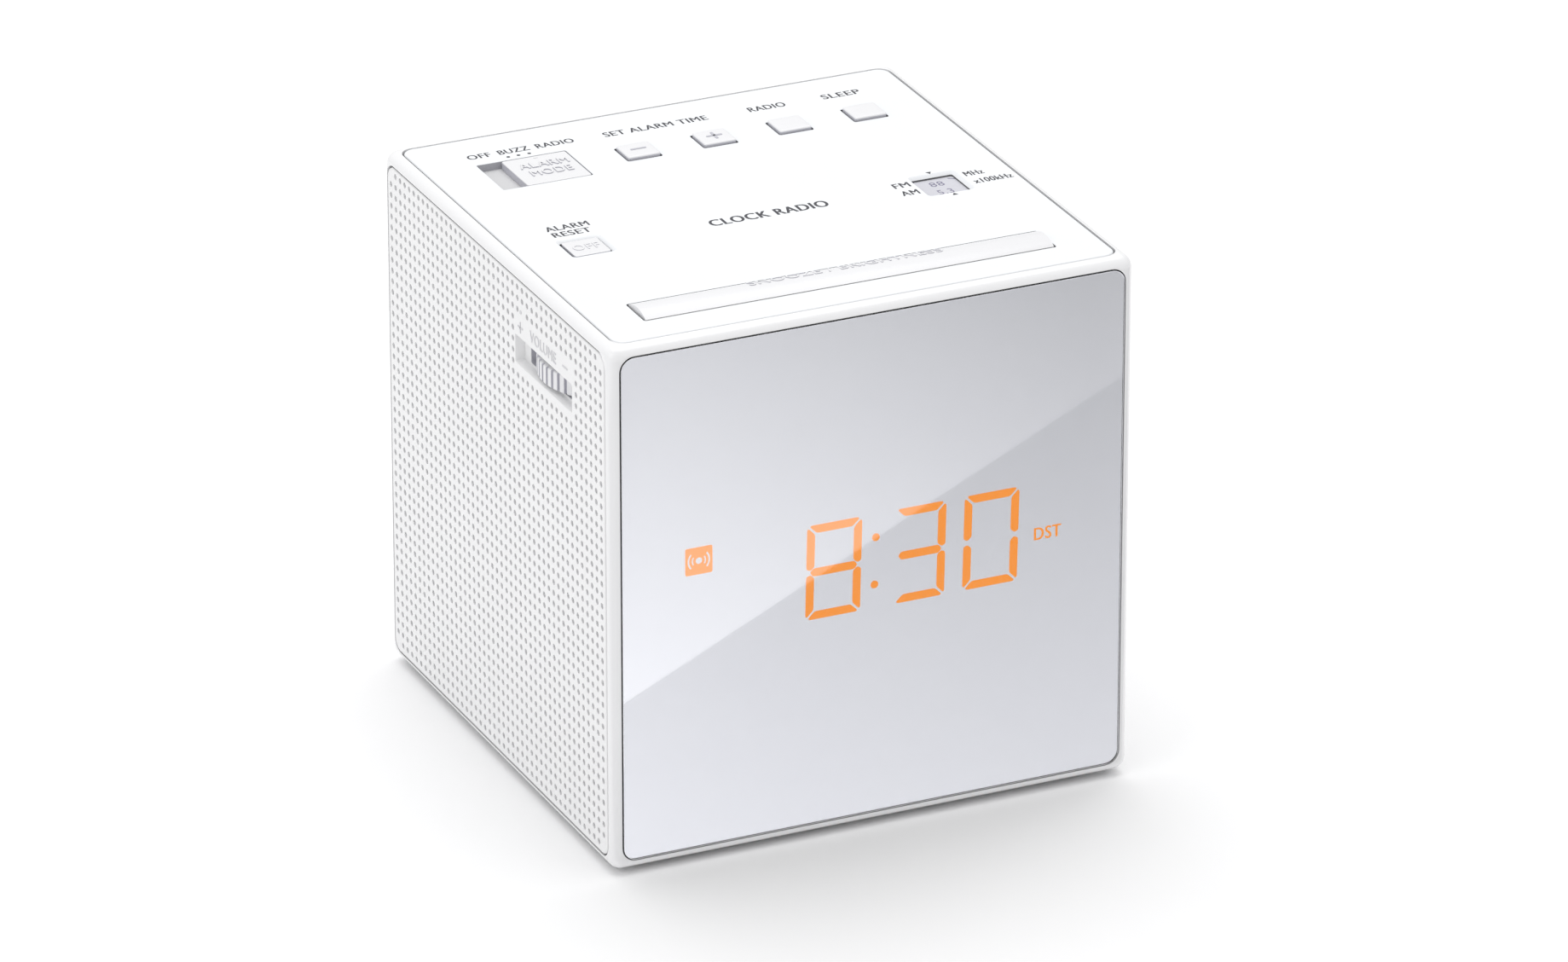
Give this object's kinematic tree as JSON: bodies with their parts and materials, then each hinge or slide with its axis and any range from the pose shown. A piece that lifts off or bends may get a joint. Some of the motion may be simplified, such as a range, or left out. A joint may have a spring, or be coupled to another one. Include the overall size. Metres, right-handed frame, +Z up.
{
  "type": "clock radio",
  "caption": "Cube-shaped bedside clock radio with a mirror display window, snooze bar, push keys, selector slider, thumb wheels and a perforated speaker side.",
  "frame": {"origin": "centre of the footprint on the table, under the feet", "axes": "+Z up, the display window faces -Y, the volume wheel side faces -X"},
  "size_m": [0.1014, 0.1014, 0.1025],
  "materials": {
    "gloss_white": "gloss",
    "satin_white": "satin",
    "grille_white": "satin",
    "key_white": "satin",
    "window_clear": "clear",
    "mirror_film": "half mirror",
    "segment_amber": "diffuse",
    "black_plastic": "matte",
    "board_green": "satin",
    "rubber_grey": "matte",
    "steel": "satin",
    "plated_steel": "bright",
    "switch_grey": "matte",
    "ferrite": "matte",
    "copper": "enamelled",
    "cone_paper": "matte",
    "iron": "matte",
    "aluminium_can": "sleeved"
  },
  "bodies": {
    "cabinet": {"cabinet_frame": "gloss_white", "top_plate": "satin_white", "left_panel": "grille_white", "right_panel": "grille_white", "front_window": "window_clear", "display_film": "mirror_film", "rear_cover": "satin_white", "bottom_cover": "satin_white", "battery_door": "satin_white", "door_screw": "steel", "feet": "rubber_grey", "case_screws": "steel", "cord_gland": "rubber_grey", "display_segments": "segment_amber", "display_housing": "black_plastic", "display_board": "board_green", "key_board": "board_green", "key_switches": "switch_grey", "mode_switch": "plated_steel", "board_screws": "steel", "volume_pot": "black_plastic", "tuning_capacitor": "switch_grey", "rear_switches": "switch_grey", "band_switch": "plated_steel", "main_board": "board_green", "clock_chip": "black_plastic", "radio_chip": "black_plastic", "capacitors": "aluminium_can", "transformer_core": "iron", "transformer_coil": "copper", "transformer_strap": "plated_steel", "ferrite_rod": "ferrite", "antenna_coil": "copper", "rod_clips": "black_plastic", "speaker_basket": "plated_steel", "speaker_magnet": "ferrite", "speaker_cone": "cone_paper", "speaker_screws": "steel", "coin_cell": "plated_steel", "cell_contact": "plated_steel"},
    "minus_key_body": {"minus_key": "key_white", "minus_plunger": "black_plastic"},
    "plus_key_body": {"plus_key": "key_white", "plus_plunger": "black_plastic"},
    "radio_key_body": {"radio_key": "key_white", "radio_plunger": "black_plastic"},
    "sleep_key_body": {"sleep_key": "key_white", "sleep_plunger": "black_plastic"},
    "alarm_off_body": {"alarm_off_key": "key_white", "alarm_off_plunger": "black_plastic"},
    "snooze_body": {"snooze_bar": "key_white", "snooze_plunger": "black_plastic"},
    "clock_key_body": {"clock_key": "key_white", "clock_plunger": "black_plastic"},
    "summer_key_body": {"summer_key": "key_white", "summer_plunger": "black_plastic"},
    "mode_slider_body": {"mode_slider": "key_white"},
    "band_slider_body": {"band_slider": "key_white"},
    "volume_wheel_body": {"volume_wheel": "key_white"},
    "tuning_wheel_body": {"tuning_wheel": "key_white"}
  },
  "joints": [
    {"name": "minus_key_body_press", "type": "slide", "parent": "cabinet", "child": "minus_key_body", "axis": [0, 0, -1], "range_m": [0, 0.0008], "stiffness_N_per_m": 400, "springref_m": -0.003},
    {"name": "plus_key_body_press", "type": "slide", "parent": "cabinet", "child": "plus_key_body", "axis": [0, 0, -1], "range_m": [0, 0.0008], "stiffness_N_per_m": 400, "springref_m": -0.003},
    {"name": "radio_key_body_press", "type": "slide", "parent": "cabinet", "child": "radio_key_body", "axis": [0, 0, -1], "range_m": [0, 0.0008], "stiffness_N_per_m": 400, "springref_m": -0.003},
    {"name": "sleep_key_body_press", "type": "slide", "parent": "cabinet", "child": "sleep_key_body", "axis": [0, 0, -1], "range_m": [0, 0.0008], "stiffness_N_per_m": 400, "springref_m": -0.003},
    {"name": "alarm_off_body_press", "type": "slide", "parent": "cabinet", "child": "alarm_off_body", "axis": [0, 0, -1], "range_m": [0, 0.0008], "stiffness_N_per_m": 400, "springref_m": -0.003},
    {"name": "snooze_body_press", "type": "slide", "parent": "cabinet", "child": "snooze_body", "axis": [0, 0, -1], "range_m": [0, 0.0008], "stiffness_N_per_m": 600, "springref_m": -0.003},
    {"name": "clock_key_body_press", "type": "slide", "parent": "cabinet", "child": "clock_key_body", "axis": [0, -1, 0], "range_m": [0, 0.0008], "stiffness_N_per_m": 400, "springref_m": -0.003},
    {"name": "summer_key_body_press", "type": "slide", "parent": "cabinet", "child": "summer_key_body", "axis": [0, -1, 0], "range_m": [0, 0.0008], "stiffness_N_per_m": 400, "springref_m": -0.003},
    {"name": "mode_slide", "type": "slide", "parent": "cabinet", "child": "mode_slider_body", "axis": [1, 0, 0], "range_m": [-0.004, 0]},
    {"name": "band_slide", "type": "slide", "parent": "cabinet", "child": "band_slider_body", "axis": [1, 0, 0], "range_m": [-0.004, 0]},
    {"name": "volume_turn", "type": "hinge", "parent": "cabinet", "child": "volume_wheel_body", "pos_m": [-0.03575, -0.022, 0.086], "axis": [0, 0, 1], "range_deg": [-135, 135]},
    {"name": "tuning_turn", "type": "hinge", "parent": "cabinet", "child": "tuning_wheel_body", "pos_m": [0.0339, 0.0012, 0.094], "axis": [0, 0, 1], "range_deg": [0, 300]}
  ]
}
